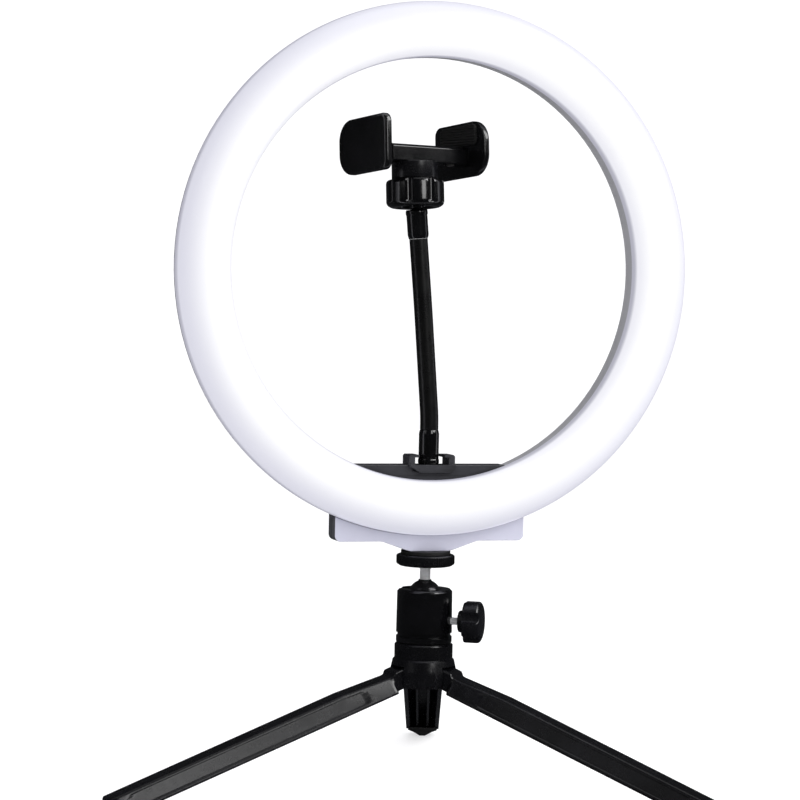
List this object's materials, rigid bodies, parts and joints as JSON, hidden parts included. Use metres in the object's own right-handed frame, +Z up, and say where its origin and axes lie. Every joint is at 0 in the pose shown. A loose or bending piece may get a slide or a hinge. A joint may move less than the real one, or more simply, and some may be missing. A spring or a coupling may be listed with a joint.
{
  "type": "ring light",
  "caption": "Tabletop ring light: opal LED ring on a ball head and folding leg tripod, with a spring phone clip on a bendable arm in the ring's hole.",
  "frame": {"origin": "the point of the table under the stand's axis, level with the soles of the feet", "axes": "+Z up; the opal front of the ring faces -Y; +X is to the right for someone who looks along +Y at that front"},
  "size_m": [0.2962, 0.2914, 0.388],
  "materials": {
    "opal": "satin opal acrylic",
    "cover_white": "satin moulded white",
    "shell_grey": "fine spark-eroded grain",
    "black_plastic": "satin moulded black",
    "gloss_black": "gloss moulded black",
    "black_metal": "gloss black coat",
    "steel": "polished",
    "brass": "turned",
    "rubber": "matt",
    "nylon": "natural nylon",
    "board": "white solder mask",
    "led": "phosphor"
  },
  "bodies": {
    "stand": {"hub": "black_plastic", "hub_screw": "steel", "leg_pin_rear": "steel", "leg_pin_left": "steel", "leg_pin_right": "steel", "ball_housing": "black_metal"},
    "leg_rear": {"leg_rear": "black_plastic", "foot_rear": "rubber"},
    "leg_left": {"leg_left": "black_plastic", "foot_left": "rubber"},
    "leg_right": {"leg_right": "black_plastic", "foot_right": "rubber"},
    "clamp_tip": {"clamp_tip": "brass"},
    "clamp_knob": {"clamp_screw": "steel", "clamp_knob": "black_plastic"},
    "ball_seat": {"ball_seat": "nylon"},
    "ball": {"ball": "black_metal", "stud": "steel"},
    "lock_wheel": {"lock_wheel": "black_metal", "wheel_pad": "rubber"},
    "ring_head": {"rear_shell": "shell_grey", "base_cover": "cover_white", "diffuser": "opal", "led_board": "board", "leds": "led", "driver_board": "board", "shell_screws": "steel", "thread_insert": "brass", "cable_gland": "rubber", "shoe_plate": "shell_grey", "shoe_bracket": "shell_grey"},
    "arm_lower": {"arm_foot": "black_metal", "lower_ferrule": "gloss_black", "gooseneck_lower": "rubber"},
    "arm_middle": {"gooseneck_middle": "rubber"},
    "arm_upper": {"gooseneck_upper": "rubber", "upper_ferrule": "gloss_black", "swivel_ball": "gloss_black"},
    "swivel_seat": {"swivel_seat": "nylon"},
    "clip": {"clip_socket": "gloss_black", "clip_body": "gloss_black", "fixed_jaw": "gloss_black", "fixed_jaw_pad": "rubber", "clip_cover": "black_plastic", "cover_screw": "steel", "clip_spring": "steel"},
    "swivel_nut": {"swivel_nut": "gloss_black"},
    "moving_jaw": {"moving_jaw": "gloss_black", "moving_jaw_pad": "rubber", "clip_slider": "black_plastic"}
  },
  "joints": [
    {"name": "leg_rear_fold", "type": "hinge", "parent": "stand", "child": "leg_rear", "pos_m": [0.00369, 0.01142, 0.0585], "axis": [-0.9516, 0.3074, 0], "range_deg": [0, 70]},
    {"name": "leg_left_fold", "type": "hinge", "parent": "stand", "child": "leg_left", "pos_m": [-0.01173, -0.00251, 0.0585], "axis": [0.2096, -0.9778, 0], "range_deg": [0, 70]},
    {"name": "leg_right_fold", "type": "hinge", "parent": "stand", "child": "leg_right", "pos_m": [0.00805, -0.0089, 0.0585], "axis": [0.742, 0.6704, 0], "range_deg": [0, 70]},
    {"name": "clamp_travel", "type": "slide", "parent": "stand", "child": "clamp_tip", "axis": [0.866, -0.5, 0], "range_m": [0, 0.0014]},
    {"name": "clamp_turn", "type": "hinge", "parent": "clamp_tip", "child": "clamp_knob", "pos_m": [0.01472, -0.0085, 0.0855], "axis": [0.866, -0.5, 0], "range_deg": [0, 720]},
    {"name": "ball_pan", "type": "hinge", "parent": "stand", "child": "ball_seat", "pos_m": [0, 0, 0.097], "axis": [0, 0, 1], "continuous": true},
    {"name": "ball_tilt", "type": "hinge", "parent": "ball_seat", "child": "ball", "pos_m": [0, 0, 0.097], "axis": [1, 0, 0], "range_deg": [-35, 35]},
    {"name": "lock_wheel_turn", "type": "hinge", "parent": "ball", "child": "lock_wheel", "pos_m": [0, 0, 0.115], "axis": [0, 0, 1], "continuous": true},
    {"name": "head_turn", "type": "hinge", "parent": "ball", "child": "ring_head", "pos_m": [0, 0, 0.124], "axis": [0, 0, 1], "continuous": true},
    {"name": "arm_slide", "type": "slide", "parent": "ring_head", "child": "arm_lower", "axis": [0, 1, 0], "range_m": [0, 0.02]},
    {"name": "arm_bend_low", "type": "hinge", "parent": "arm_lower", "child": "arm_middle", "pos_m": [-0.0002, -0.002, 0.186], "axis": [1, 0, 0], "range_deg": [-35, 35]},
    {"name": "arm_bend_high", "type": "hinge", "parent": "arm_middle", "child": "arm_upper", "pos_m": [-0.0045, -0.002, 0.238], "axis": [0, 1, 0], "range_deg": [-35, 35]},
    {"name": "clip_turn", "type": "hinge", "parent": "arm_upper", "child": "swivel_seat", "pos_m": [-0.01009, -0.002, 0.29755], "axis": [-0.0204, 0.0667, 0.9976], "continuous": true},
    {"name": "clip_tilt", "type": "hinge", "parent": "swivel_seat", "child": "clip", "pos_m": [-0.01009, -0.002, 0.29755], "axis": [0.9563, 0.2924, 0], "range_deg": [-15, 15]},
    {"name": "nut_turn", "type": "hinge", "parent": "clip", "child": "swivel_nut", "pos_m": [-0.01009, -0.002, 0.29755], "axis": [-0.0204, 0.0667, 0.9976], "continuous": true},
    {"name": "jaw_slide", "type": "slide", "parent": "clip", "child": "moving_jaw", "axis": [-0.9563, -0.2924, 0], "range_m": [0, 0.027], "stiffness_N_per_m": 160, "springref_m": -0.012, "deforming": ["clip_spring"]}
  ],
  "couplings": [
    {"joint": "clamp_travel", "follows": "clamp_turn", "m_per_rad": 0.00011141}
  ]
}
